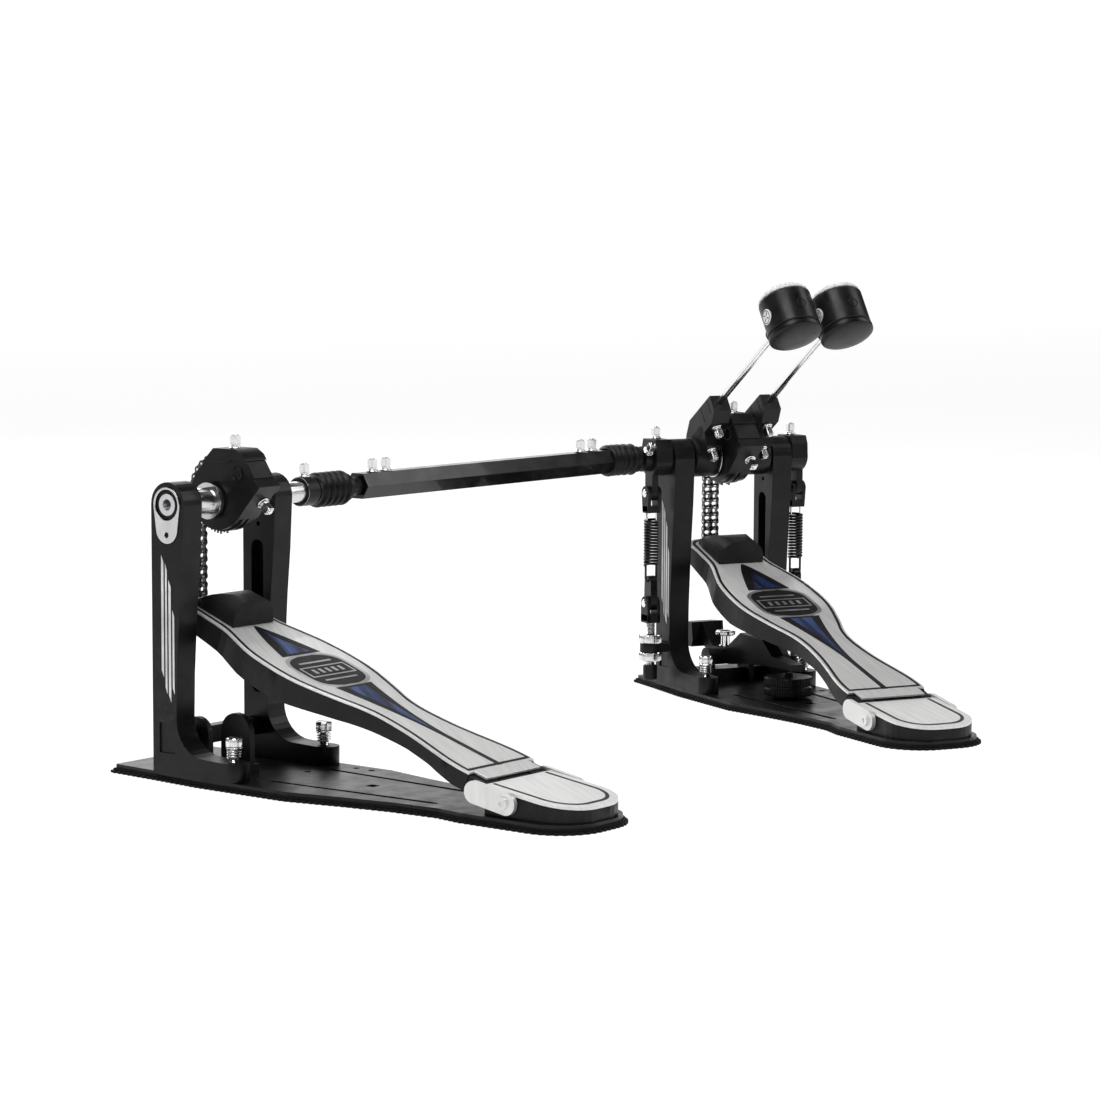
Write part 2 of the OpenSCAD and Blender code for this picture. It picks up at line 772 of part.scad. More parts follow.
beater_rod(-beater_gap / 2);  // left_beater_rod
beater_head(-beater_gap / 2);  // left_beater_head
beater_felt(-beater_gap / 2);  // left_beater_felt
spring();  // right_spring
spring_link();  // right_spring_link
tension_rod();  // right_tension_rod
tension_nuts();  // right_tension_nuts
mirror([1, 0, 0]) spring();  // left_spring
mirror([1, 0, 0]) spring_link();  // left_spring_link
mirror([1, 0, 0]) tension_rod();  // left_tension_rod
mirror([1, 0, 0]) tension_nuts();  // left_tension_nuts
mirror([1, 0, 0]) spur();  // main_left_spur
spur();  // main_right_spur
in_slave() mirror([1, 0, 0]) spur();  // slave_left_spur
in_slave() spur();  // slave_right_spur
translate([ujoint_x, 0, axle_h]) joint_cross();  // main_joint_cross
main_joint_boot();
in_slave() linkage_tube();
in_slave() linkage_bolts();
in_slave() linkage_rod();
in_slave() translate([slave_joint_s, 0, axle_h]) joint_cross();  // slave_joint_cross
in_slave() slave_joint_boot();
in_slave() base_plate();  // slave_base_plate
in_slave() base_mat();  // slave_base_mat
in_slave() {  // slave_uprights
    upright_pair();
    slave_jaws();
}
in_slave() {  // slave_bearings
    bearings();
    bearing_cover();
}
in_slave() heel_block();  // slave_heel_block
in_slave() {  // slave_heel_hinge
    heel_plate();
    heel_hinge();
}
in_slave() {
    slave_axle_shaft();
    slave_coupler();
}
in_slave() cam();  // slave_cam
color("silver") in_slave() {  // slave_key_bolts
    cam_bolts();
    at_axle() translate([90.5, 0, 11]) key_bolt();
}
in_slave() footboard();  // slave_footboard
in_slave() footboard_face();  // slave_footboard_face
in_slave() toe_stop();  // slave_toe_stop
in_slave() {  // slave_chain
    chain();
    chain_wrap();
}
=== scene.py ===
"""Looks of the double bass drum pedal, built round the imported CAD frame.

Shapes are drawn in millimetres and the objects stand in metres.
"""
import json
import math

import bmesh
import bpy
from mathutils import Matrix, Vector


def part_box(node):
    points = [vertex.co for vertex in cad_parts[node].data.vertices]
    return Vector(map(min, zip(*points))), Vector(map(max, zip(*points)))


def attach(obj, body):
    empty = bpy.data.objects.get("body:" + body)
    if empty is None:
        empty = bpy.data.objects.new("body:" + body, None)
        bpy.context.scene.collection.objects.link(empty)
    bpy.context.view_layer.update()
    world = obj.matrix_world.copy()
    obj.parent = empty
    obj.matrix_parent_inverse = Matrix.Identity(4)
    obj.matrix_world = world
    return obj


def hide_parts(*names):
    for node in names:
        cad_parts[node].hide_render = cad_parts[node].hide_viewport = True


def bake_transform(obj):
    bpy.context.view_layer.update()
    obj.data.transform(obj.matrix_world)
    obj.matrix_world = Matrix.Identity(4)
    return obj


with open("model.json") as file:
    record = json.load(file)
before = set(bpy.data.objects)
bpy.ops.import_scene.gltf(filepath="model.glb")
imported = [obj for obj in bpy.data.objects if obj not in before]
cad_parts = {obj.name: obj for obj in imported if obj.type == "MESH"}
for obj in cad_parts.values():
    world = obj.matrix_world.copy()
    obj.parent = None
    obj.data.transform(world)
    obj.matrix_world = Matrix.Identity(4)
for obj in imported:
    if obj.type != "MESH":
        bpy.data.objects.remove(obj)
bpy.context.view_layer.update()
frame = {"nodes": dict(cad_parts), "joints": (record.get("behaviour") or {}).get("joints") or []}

# ---------- places, read from the frame ----------

MM = 0.001
joints = {joint["name"]: joint for joint in frame["joints"]}


def joint_place(name):
    return Vector(joints[name]["pos_m"]) / MM


AXLE_Z = joint_place("main_axle_spin").z
SLAVE_AXIS = -Vector(joints["slave_axle_spin"]["axis"])
SLAVE_YAW = math.atan2(SLAVE_AXIS.y, SLAVE_AXIS.x)
SLAVE_ORIGIN = joint_place("slave_axle_spin") - Vector((0, 0, AXLE_Z))
MAIN = Matrix.Identity(4)
SLAVE = Matrix.Translation(SLAVE_ORIGIN) @ Matrix.Rotation(SLAVE_YAW, 4, "Z")
MAIN_JOINT = joint_place("linkage_swivel")
LINKAGE_LEN = (MAIN_JOINT - joint_place("slave_axle_spin")).length
SPRING_X = joint_place("right_spring_link_pivot").x
LINK_PIN_Z = joint_place("right_spring_link_pivot").z
ANCHOR_PIN_Z = joint_place("right_spring_swing").z
WHEEL_Y = joint_place("hoop_clamp_wheel_spin").y
PLATE_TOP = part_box("main_base_plate")[1].z / MM
HEEL_CENTER_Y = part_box("main_base_plate")[0].y / MM + 32
OUTER_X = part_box("main_uprights")[1].x / MM - 23.5
SPUR_X = (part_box("main_right_spur")[0].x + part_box("main_right_spur")[1].x) / 2 / MM
BEATER_X = (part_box("right_beater_rod")[0].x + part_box("right_beater_rod")[1].x) / 2 / MM
ROD_ANGLE = math.radians(34)
ROD_OFFSET = 23
HEAD_T = 193
BOARD_TILT = math.radians(18.9)
BOARD_LEN = 302
BOARD_HEEL = (-268, 33.5)
PAINT = 0.14  # how far a painted line stands on the tread
PAINT_ROOT = -0.1  # how far it reaches into it
STRAND_Y = 25
CHAIN_PITCH = 6.35
STRAND_LINKS = 13
WRAP_LINKS = 6
CAM_RADIUS = 29
STRAND_TOP = AXLE_Z + 4
CAM_CENTER = Vector((0, STRAND_Y - CAM_RADIUS, STRAND_TOP))


def move(x=0.0, y=0.0, z=0.0):
    return Matrix.Translation((x, y, z))


def turn(degrees, axis):
    return Matrix.Rotation(math.radians(degrees), 4, axis)


AT_AXLE = move(z=AXLE_Z)
FLIP_X = Matrix.Diagonal((-1, 1, 1, 1))
BOARD = move(0, *BOARD_HEEL) @ Matrix.Rotation(BOARD_TILT, 4, "X")


def rod_frame(x):
    """+Z runs up the beater rod, +Y is square to it on the drum side."""
    return AT_AXLE @ move(x) @ Matrix.Rotation(math.pi / 2 - ROD_ANGLE, 4, "X") @ move(y=ROD_OFFSET)


# ---------- materials ----------


class Nodes:
    """A material's node tree, with short calls to add and join nodes."""

    def __init__(self, name, metallic, **fixed):
        self.material = bpy.data.materials.new(name)
        self.material.use_nodes = True
        self.tree = self.material.node_tree
        self.shader = self.tree.nodes["Principled BSDF"]
        self.shader.inputs["Metallic"].default_value = metallic
        for socket, value in fixed.items():
            self.shader.inputs[socket.replace("_", " ")].default_value = value
        self.place = self.add("ShaderNodeTexCoord").outputs["Object"]

    def add(self, kind, **settings):
        node = self.tree.nodes.new(kind)
        for key, value in settings.items():
            setattr(node, key, value)
        return node

    def link(self, source, target):
        self.tree.links.new(source, target)

    def scaled(self, scale):
        mapping = self.add("ShaderNodeMapping")
        mapping.inputs["Scale"].default_value = scale
        self.link(self.place, mapping.inputs["Vector"])
        return mapping.outputs["Vector"]

    def noise(self, scale, detail=4.0, stretch=(1, 1, 1)):
        node = self.add("ShaderNodeTexNoise")
        node.inputs["Scale"].default_value = scale
        node.inputs["Detail"].default_value = detail
        self.link(self.scaled(stretch), node.inputs["Vector"])
        return node.outputs["Fac"]

    def ramp(self, source, stops):
        node = self.add("ShaderNodeValToRGB")
        elements = node.color_ramp.elements
        while len(elements) < len(stops):
            elements.new(0.5)
        for element, (at, color) in zip(elements, stops):
            element.position = at
            element.color = (*color, 1)
        self.link(source, node.inputs["Fac"])
        return node.outputs["Color"]

    def spread(self, source, low, high):
        node = self.add("ShaderNodeMapRange")
        node.inputs["From Min"].default_value = 0.3
        node.inputs["From Max"].default_value = 0.7
        node.inputs["To Min"].default_value = low
        node.inputs["To Max"].default_value = high
        self.link(source, node.inputs["Value"])
        return node.outputs["Result"]

    def mix(self, amount, low, high):
        node = self.add("ShaderNodeMix", data_type="RGBA")
        self.link(amount, node.inputs["Factor"])
        self.link(low, node.inputs["A"])
        self.link(high, node.inputs["B"])
        return node.outputs["Result"]

    def bump(self, height, strength, depth_mm, under=None):
        node = self.add("ShaderNodeBump")
        node.inputs["Strength"].default_value = strength
        node.inputs["Distance"].default_value = depth_mm * MM
        self.link(height, node.inputs["Height"])
        if under:
            self.link(under, node.inputs["Normal"])
        return node.outputs["Normal"]

    def edge_wear_and_highlight(self, color, wear_and_highlight_color):
        """Another colour along outer edges, broken up by noise: lighter on dark finishes, a painted edge
        highlight; darker on the white ink, rubbed wear.
        """
        edge = self.add("ShaderNodeNewGeometry").outputs["Pointiness"]
        broken = self.add("ShaderNodeMath", operation="MULTIPLY")
        self.link(self.ramp(edge, [(0.52, (0, 0, 0)), (0.62, (1, 1, 1))]), broken.inputs[0])
        self.link(self.ramp(self.noise(180), [(0.42, (0, 0, 0)), (0.7, (1, 1, 1))]), broken.inputs[1])
        patch = self.ramp(self.noise(60), [(0, wear_and_highlight_color), (1, tuple(c * 1.3 for c in wear_and_highlight_color))])
        return self.mix(broken.outputs[0], color, patch)

    def set(self, socket, source):
        self.link(source, self.shader.inputs[socket])


def tint(color, factor):
    return tuple(min(1.0, c * factor) for c in color)


def coated(name, color, rough, grain=900, grain_depth=0.03, wear_and_highlight_color=None, **fixed):
    """Powder coat or moulded plastic: fine grain, mottled gloss, and edges lightened as a painted highlight
    unless a darker edge colour for rubbed wear is given.
    """
    n = Nodes(name, 0.0, **{"Specular_IOR_Level": 0.25, **fixed})
    base = n.ramp(n.noise(38), [(0.3, tint(color, 0.75)), (0.75, tint(color, 1.3))])
    # edge colour: a painted highlight by default, rubbed wear where a darker colour is given
    n.set("Base Color", n.edge_wear_and_highlight(base, wear_and_highlight_color or tint(color, 2.4)))
    n.set("Roughness", n.spread(n.noise(70, 6), rough - 0.07, rough + 0.09))
    n.set("Normal", n.bump(n.noise(grain, 3), 0.35, grain_depth))
    return n.material


def bright(name, color, rough, stretch=(1, 1, 1), scale=600, depth=0.008, variation=0.9, mottle=1.0,
           metallic=1.0):
    """Plated or brushed metal: scratches along one way and a slow change of gloss."""
    n = Nodes(name, metallic)
    streaks = n.noise(scale, 5, stretch)
    base = n.ramp(streaks, [(0.3, tint(color, variation)), (0.7, color)])
    n.set("Base Color", base)
    n.set("Roughness", n.spread(n.noise(45, 6), rough * (1 - 0.2 * mottle), rough * (1 + 0.35 * mottle)))
    n.set("Normal", n.bump(streaks, 0.3, depth))
    return n.material


def rubber(name, color, rough):
    n = Nodes(name, 0.0, Specular_IOR_Level=0.2)
    dust = n.ramp(n.noise(55, 8), [(0.35, tint(color, 0.8)), (0.8, tint(color, 1.7))])
    n.set("Base Color", dust)
    n.set("Roughness", n.spread(n.noise(120, 5), rough - 0.08, rough + 0.1))
    n.set("Normal", n.bump(n.noise(650, 5), 0.4, 0.05))
    return n.material


def felt(name):
    """Pressed wool: short fibres crossing every way, soft clumps, and painted shade: a faint grey in the
    hollows of the clumps.
    """
    n = Nodes(name, 0.0, Sheen_Weight=0.35, Sheen_Roughness=0.5)
    clumps = n.noise(260, 9)
    fibres = n.noise(1500, 8, (1, 2.4, 1))
    # greyer where the clumps are low in the bump below: painted shade in the hollows
    n.set("Base Color", n.ramp(clumps, [(0.3, (0.62, 0.61, 0.59)), (0.6, (0.86, 0.855, 0.84))]))
    n.set("Roughness", n.spread(clumps, 0.85, 0.98))
    n.set("Normal", n.bump(fibres, 0.7, 0.25, n.bump(clumps, 0.8, 0.5)))
    return n.material


def blue_foil():
    """Deep blue print with paler streaks that run along the board."""
    n = Nodes("blue_foil", 0.35, Coat_Weight=0.3)
    streaks = n.noise(130, 4, (1, 0.08, 0.08))
    n.set("Base Color", n.ramp(streaks, [(0.38, (0.004, 0.006, 0.02)), (0.52, (0.02, 0.045, 0.17)),
                                         (0.66, (0.09, 0.15, 0.38))]))
    n.set("Roughness", n.spread(n.noise(90), 0.28, 0.42))
    return n.material


MAT = {
    "powder_coat": coated("powder_coat", (0.006, 0.006, 0.0063), 0.38),
    "plate_steel": coated("plate_coat", (0.0065, 0.0065, 0.0068), 0.34, grain=1300),
    "board_black": coated("board_coat", (0.006, 0.006, 0.0063), 0.42),
    "head_plastic": coated("moulded_plastic", (0.007, 0.007, 0.0073), 0.33, grain=500),
    "tube_black": coated("gloss_paint", (0.004, 0.004, 0.0043), 0.2, grain=250, grain_depth=0.02,
                         Coat_Weight=0.25),
    "mat_rubber": rubber("mat_rubber", (0.005, 0.005, 0.005), 0.72),
    "boot_rubber": rubber("boot_rubber", (0.006, 0.006, 0.0062), 0.40),
    "stop_rubber": rubber("stop_rubber", (0.007, 0.007, 0.0072), 0.5),
    "bright_steel": bright("chrome", (0.86, 0.86, 0.87), 0.13, scale=400),
    "axle_steel": bright("turned_steel", (0.70, 0.70, 0.71), 0.24, stretch=(40, 1, 1), scale=60),
    "chain_steel": bright("chain_plate", (0.10, 0.10, 0.105), 0.30, scale=500),
    "spring_steel": bright("black_spring", (0.045, 0.045, 0.047), 0.30, scale=500),
    "tread_silver": bright("brushed_tread", (0.88, 0.88, 0.87), 0.36, stretch=(1, 0.06, 0.06), scale=420,
                           depth=0.012, variation=0.86, mottle=0.25, metallic=0.5),
    "felt_white": felt("pressed_felt"),
}
INK = coated("black_ink", (0.0025, 0.0025, 0.0025), 0.45)
WHITE_INK = coated("white_ink", (0.80, 0.80, 0.79), 0.5, wear_and_highlight_color=(0.6, 0.6, 0.6))
SILVER_INK = bright("silver_ink", (0.78, 0.78, 0.78), 0.34)
FOIL = blue_foil()
# near-black for painted shade: dark pieces laid in slots, recesses and holes
SHADE_BLACK = coated("painted_shade_black", (0.002, 0.002, 0.002), 0.6)

# ---------- mesh code ----------


def put(name, data):
    obj = bpy.data.objects.new(name, data)
    bpy.context.scene.collection.objects.link(obj)
    return obj


def bevel(obj, width_mm, segments):
    mod = obj.modifiers.new("edges", "BEVEL")
    mod.width = width_mm * MM
    mod.segments = segments
    mod.limit_method = "ANGLE"
    mod.angle_limit = math.radians(32)
    mod.harden_normals = True


def smooth(mesh, degrees):
    mesh.shade_smooth()
    mesh.set_sharp_from_angle(angle=math.radians(degrees))


def piece(name, bm, finish, body, nodes=(), place=MAIN, edges=0.0, steps=2, angle=38):
    """Turns a bmesh in millimetres into a piece that rides on a body and stands for some CAD nodes."""
    mesh = bpy.data.meshes.new(name)
    bmesh.ops.recalc_face_normals(bm, faces=bm.faces)
    bm.to_mesh(mesh)
    bm.free()
    mesh.transform(Matrix.Scale(MM, 4) @ place)
    if place.determinant() < 0:
        mesh.flip_normals()
    obj = put(name, mesh)
    for each in finish if isinstance(finish, list) else [finish]:
        mesh.materials.append(each)
    if edges:
        mesh.shade_smooth()
        bevel(obj, edges, steps)
    else:
        smooth(mesh, angle)
    if body:
        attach(obj, body)
    if nodes:
        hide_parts(*nodes)
    return obj


def keep(node, slot_shade, edges=0.0, steps=2):
    """A CAD node whose shape is right: its flats are joined, its edges rounded, and it gets its finish."""
    obj = frame["nodes"][node]
    obj.data.materials.clear()
    obj.data.materials.append(MAT[slot_shade])
    if edges:
        weld = obj.modifiers.new("weld", "WELD")
        weld.merge_threshold = 2e-6
        flats = obj.modifiers.new("flats", "DECIMATE")
        flats.decimate_type = "DISSOLVE"
        flats.angle_limit = math.radians(0.6)
        bevel(obj, edges, steps)
    return obj


def loft(bm, rings, caps=True, material=0):
    """Joins closed rings of points with quads."""
    made = [[bm.verts.new(p) for p in ring] for ring in rings]
    count = len(rings[0])
    for low, high in zip(made, made[1:]):
        for i in range(count):
            j = (i + 1) % count
            bm.faces.new((low[i], low[j], high[j], high[i])).material_index = material
    if caps:
        bm.faces.new(list(reversed(made[0]))).material_index = material
        bm.faces.new(made[-1]).material_index = material
    return made


def close_loft(bm, rings, material=0):
    """Joins rings of points, and the last one to the first, so that a hole is left in the middle."""
    made = loft(bm, rings + [rings[0]], caps=False, material=material)
    bmesh.ops.remove_doubles(bm, verts=made[0] + made[-1], dist=0.0005)


def prism(bm, outline, low, high, place=MAIN):
    """An outline drawn in (y, z), given a thickness along X."""
    loft(bm, [[place @ Vector((x, y, z)) for y, z in outline] for x in (low, high)])


def slab(bm, outline, low, high, place=MAIN):
    """An outline drawn in (x, y), given a thickness along Z."""
    loft(bm, [[place @ Vector((x, y, z)) for x, y in outline] for z in (low, high)])


def circle(radius, sides):
    """Pairs of (cosine, sine) times the radius, once round."""
    return [(radius * math.cos(math.tau * i / sides), radius * math.sin(math.tau * i / sides))
            for i in range(sides)]


def lathe(bm, profile, place=MAIN, sides=48, material=0, closed=False):
    """A profile of (radius, height) turned about Z. It starts and ends on the axis, or closes on itself."""
    rings = [[place @ Vector((x, y, height)) for x, y in circle(radius, sides)] for radius, height in profile]
    if closed:
        close_loft(bm, rings, material)
    else:
        loft(bm, rings, material=material)


def disc(radius, low, high, edge=0.4):
    """Profile of a disc with eased edges."""
    return [(radius - edge, low), (radius, low + edge), (radius, high - edge), (radius - edge, high)]


def ring(inner, outer, low, high, edge=0.3):
    """Profile of a ring with eased outer edges, for a lathe that closes on itself."""
    return [(inner, low), (outer - edge, low), (outer, low + edge),
            (outer, high - edge), (outer - edge, high), (inner, high)]


def tube(bm, path, radius, sides=10):
    """A round wire along a path, with its rings turned as little as possible."""
    side = None
    rings = []
    for i, point in enumerate(path):
        ahead = (path[min(i + 1, len(path) - 1)] - path[max(i - 1, 0)]).normalized()
        if side is None:
            side = ahead.orthogonal().normalized()
        side = (side - side.dot(ahead) * ahead).normalized()
        other = ahead.cross(side)
        rings.append([point + radius * (side * x + other * y) for x, y in circle(1, sides)])
    loft(bm, rings)


def arc(center, radius, start, end, steps=8):
    return [(center[0] + radius * math.cos(math.radians(start + (end - start) * i / steps)),
             center[1] + radius * math.sin(math.radians(start + (end - start) * i / steps)))
            for i in range(steps + 1)]


def catmull(points, steps=4):
    """A smooth line through the points."""
    out = []
    for i in range(len(points) - 1):
        a, b = points[max(i - 1, 0)], points[i]
        c, d = points[i + 1], points[min(i + 2, len(points) - 1)]
        for k in range(steps):
            t = k / steps
            out.append(tuple(0.5 * (2 * b[j] + (c[j] - a[j]) * t
                                    + (2 * a[j] - 5 * b[j] + 4 * c[j] - d[j]) * t * t
                                    + (3 * b[j] - a[j] - 3 * c[j] + d[j]) * t ** 3) for j in (0, 1)))
    return out + [tuple(points[-1])]


def mirrored(half):
    return half + [(-x, y) for x, y in reversed(half)]


# ---------- fasteners ----------


def key_bolt(bm, place):
    """Square-headed key bolt, its lock washer and its flange."""
    lathe(bm, [(0.01, 0), (4.8, 0), (5.0, 0.3), (5.0, 0.9), (4.5, 1.3), (0.01, 1.3)], place, 32)
    lathe(bm, [(0.01, 1.2), (4.1, 1.2), (4.1, 2.2), (3.6, 2.5), (0.01, 2.5)], place, 32)
    corner = 0.7
    for size, low, high in ((2.7, 2.3, 3.6), (3.1, 3.6, 9.6), (2.5, 9.6, 10.3)):
        flat = size - corner
        square = [(size, -flat), (size, flat), (flat, size), (-flat, size),
                  (-size, flat), (-size, -flat), (-flat, -size), (flat, -size)]
        slab(bm, square, low, high, place)
    lathe(bm, [(0.01, 10.2), (2.2, 10.2), (2.0, 10.8), (1.2, 11.0), (0.01, 11.0)], place, 24)


def bolts(name, body, node, places):
    bm = bmesh.new()
    for place in places:
        key_bolt(bm, place)
    piece(name, bm, MAT["bright_steel"], body, [node], edges=0.25)


def knurled(bm, radius, low, high, place=MAIN, teeth=44, inner=0.01, depth=0.55):
    """A disc with a knurled rim, with a hole in it if the inner radius is more than 1 mm."""
    outline = []
    for i in range(teeth * 4):
        angle = math.tau * i / (teeth * 4)
        reach = radius - (depth if i % 4 in (2, 3) else 0)
        outline.append((reach * math.cos(angle), reach * math.sin(angle)))
    shrink = (radius - 1.0) / radius
    rings = []
    for scale, z in ((inner / radius, low), (shrink, low), (1, low + 0.8), (1, high - 0.8), (shrink, high),
                     (inner / radius, high)):
        rings.append([place @ Vector((x * scale, y * scale, z)) for x, y in outline])
    if inner > 1:
        close_loft(bm, rings)
    else:
        loft(bm, rings)


def helix(center_x, radius, low, high, turns, per_turn=20):
    """A coil's middle line, wound up about the line x = center_x, y = 0."""
    return [Vector((center_x + radius * math.cos(math.tau * i / per_turn),
                    radius * math.sin(math.tau * i / per_turn),
                    low + (high - low) * i / (turns * per_turn)))
            for i in range(int(turns * per_turn) + 1)]


def socket_screw(bm, place, radius):
    """Button head with a hexagon socket."""
    lathe(bm, [(0.01, 0), (radius, 0), (radius, 0.8), (radius * 0.8, 1.6), (radius * 0.55, 1.8),
               (radius * 0.5, 0.9), (0.01, 0.9)], place, 24)


# ---------- one pedal: base, uprights, heel, board ----------


def base_outline(grow):
    """The waisted plate: straight toe end, round heel end."""
    side = [(51, 62), (54, 17), (58, -30), (58, -115), (48, -160), (41, -200), (38, -240), (42, -262)]
    half = [(x + grow, y + (grow if y > 60 else 0)) for x, y in side]
    return mirrored(half + arc((9, HEEL_CENTER_Y + 1), 33 + grow, 0, -90, 10))


def serrated(outline, pitch, depth):
    """The outline with square teeth along it."""
    points = [Vector(p) for p in outline]
    out, tooth = [], False
    for a, b in zip(points, points[1:] + points[:1]):
        length = (b - a).length
        steps = max(1, round(length / pitch))
        way = (b - a).normalized()
        normal = Vector((way.y, -way.x))
        for i in range(steps):
            tooth = not tooth
            offset = normal * (0 if tooth else depth)
            out += [a + (b - a) * (i / steps) + offset, a + (b - a) * ((i + 0.96) / steps) + offset]
    return [(p.x, p.y) for p in out]


def base(prefix, place, body):
    keep(prefix + "_base_plate", "plate_steel", 0.7)
    bm = bmesh.new()
    slab(bm, base_outline(1.6), 1.6, PLATE_TOP - 3.0)
    slab(bm, serrated(base_outline(2.5), 2.6, -1.1), 0, 1.9)
    piece(prefix + "_mat_ribbed", bm, MAT["mat_rubber"], body, [prefix + "_base_mat"], place)


def stripes(prefix, place, body):
    """Plain painted bars on the outer face of the left upright."""
    bm = bmesh.new()
    for i, (y, low, high) in enumerate(((-5.2, 66, 128), (-1.6, 60, 150), (2.0, 66, 162), (5.6, 78, 168))):
        half = 0.9 + 0.25 * (i % 2)
        prism(bm, [(y - half, low), (y + half, low + 5), (y + half, high), (y - half, high - 5)],
              -OUTER_X - 0.12, -OUTER_X + 0.1)
    piece(prefix + "_upright_stripes", bm, WHITE_INK, body, place=place)


def sag(s):
    """How far the tread dips below a straight board at a distance s from the heel."""
    return -3 * math.sin(math.pi * min(max(s, 0), BOARD_LEN) / BOARD_LEN)


BOARD_SIDE = [(37, 3), (37, 14), (35, 30), (27.5, 65), (25, 95), (27.5, 115), (34.5, 135), (43, 165),
              (44.5, 190), (42, 215), (37, 232), (30.5, 253), (29.5, 279)]


def board_outline(inset):
    half = [(30 - inset, 3 + inset)] + [(x - inset, max(s, 3 + inset)) for x, s in catmull(BOARD_SIDE)]
    half += arc((17.5, BOARD_LEN - 12 - 0.4), 12 - inset, 0, 90, 6)
    return mirrored(half)


def on_board(x, s, lift):
    return Vector((x, s, sag(s) + lift))


def inlay_loop(bm, outer, inner):
    """A painted line on the tread, between two outlines with the same number of points."""
    high_out = [bm.verts.new(on_board(x, s, PAINT)) for x, s in outer]
    high_in = [bm.verts.new(on_board(x, s, PAINT)) for x, s in inner]
    low_out = [bm.verts.new(on_board(x, s, PAINT_ROOT)) for x, s in outer]
    low_in = [bm.verts.new(on_board(x, s, PAINT_ROOT)) for x, s in inner]
    count = len(outer)
    for i in range(count):
        j = (i + 1) % count
        for quad in ((high_out[i], high_out[j], high_in[j], high_in[i]),
                     (low_out[i], low_out[j], high_out[j], high_out[i]),
                     (high_in[i], high_in[j], low_in[j], low_in[i])):
            bm.faces.new(quad)


def inlay_patch(bm, start, end, half_width, lift, middle=0.0, steps=28, material=0):
    """A painted patch on the tread, whose half width is a function of the distance along the board."""
    rings = []
    for i in range(steps + 1):
        s = start + (end - start) * i / steps
        half = max(half_width(s), 0.05)
        rings.append([on_board(middle - half, s, PAINT_ROOT), on_board(middle + half, s, PAINT_ROOT),
                      on_board(middle + half, s, lift), on_board(middle - half, s, lift)])
    loft(bm, rings, material=material)


def upper_wedge(s):
    """Half width of the wedge at the toe end, which comes to a point at s = 250."""
    return 20.5 * ((250 - s) / 50) ** 0.75


def lower_wedge(s):
    """Half width of the wedge at the heel end, which runs out into a plain line below s = 55."""
    spread = max(0.0, (s - 55) / 92)
    return 2.4 + 17 * spread ** 1.7


def oval(center, along, across):
    """Half width of a rounded panel that is as long as twice along."""
    def half_width(s):
        u = (s - center) / along
        return across * math.sqrt(max(0.0, 1 - u ** 4))
    return half_width


def tread_graphics(prefix, place, body):
    """Border line, two blue wedges and a plain panel with five bars."""
    bm = bmesh.new()
    inlay_loop(bm, board_outline(2.5), board_outline(5.1))
    inlay_patch(bm, 200, 249.8, upper_wedge, PAINT)
    inlay_patch(bm, 5, 147, lower_wedge, PAINT)
    inlay_patch(bm, 146.5, 199.5, oval(173, 27.5, 29.5), 0.22, material=2)
    inlay_patch(bm, 149, 197, oval(173, 24.5, 26.5), 0.30)
    for low, high in ((158, 160), (185.5, 187.5)):
        inlay_patch(bm, low, high, lambda s: 17, 0.42, steps=3, material=2)
    inlay_patch(bm, 165, 180.5, lambda s: 23.5, 0.40, steps=6, material=2)
    inlay_patch(bm, 166.5, 179, lambda s: 21.8, 0.48, steps=6)
    for middle in (-14, -7, 0, 7, 14):
        inlay_patch(bm, 169.5, 176, lambda s: 1.6, 0.6, middle, steps=3, material=2)
    inlay_patch(bm, 203, 243, lambda s: 0.62 * upper_wedge(s) * (243 - s) / 40 + 0.2, 0.22, material=1)
    inlay_patch(bm, 62, 144, lambda s: max(0.2, 0.62 * (lower_wedge(s) - 2.4)), 0.22, material=1)
    piece(prefix + "_tread_graphics", bm, [INK, FOIL, SILVER_INK], body, place=place @ BOARD)


def heel_outline(inset):
    return [(37 - inset, -281)] + arc((7, HEEL_CENTER_Y), 30 - inset, 0, -90, 12)


def on_heel(x, y, lift):
    return Vector((x, y, 28.1 + 0.142 * (y + 277) + lift))


def heel(prefix, place, body):
    keep(prefix + "_heel_block", "board_black", 1.0)
    keep(prefix + "_heel_hinge", "tread_silver", 0.5)
    bm = bmesh.new()
    outer, inner = mirrored(heel_outline(6.2)), mirrored(heel_outline(9.0))
    loft(bm, [[on_heel(*a, 0.15), on_heel(*b, 0.15), on_heel(*b, -0.15), on_heel(*a, -0.15)]
              for a, b in zip(outer, inner)])
    piece(prefix + "_heel_line", bm, INK, body, place=place)
    bm = bmesh.new()
    for side in (1, -1):
        socket_screw(bm, Matrix.Diagonal((side, 1, 1, 1)) @ move(41.0, -298, 17) @ turn(90, "Y"), 4.4)
    piece(prefix + "_hinge_screws", bm, MAT["bright_steel"], body, place=place)


def board(prefix, place, body):
    keep(prefix + "_footboard", "board_black", 0.8)
    keep(prefix + "_footboard_face", "tread_silver", 0.5)
    keep(prefix + "_toe_stop", "stop_rubber", 1.3, 3)
    tread_graphics(prefix, place, body)


def link_plates(bm, start, end, offsets):
    """Side plates of one chain link, waisted in the middle, from one pin to the next in (y, z)."""
    way = math.degrees(math.atan2(end.y - start.y, end.x - start.x))
    length = (end - start).length
    outline = (arc((0, 0), 2.5, 60, 300, 8) + [(length / 2, -1.7)] + arc((length, 0), 2.5, 240, 480, 8)
               + [(length / 2, 1.7)])
    at = move(0, start.x, start.y) @ turn(way, "X")
    for x in offsets:
        prism(bm, outline, x - 0.45, x + 0.45, at)


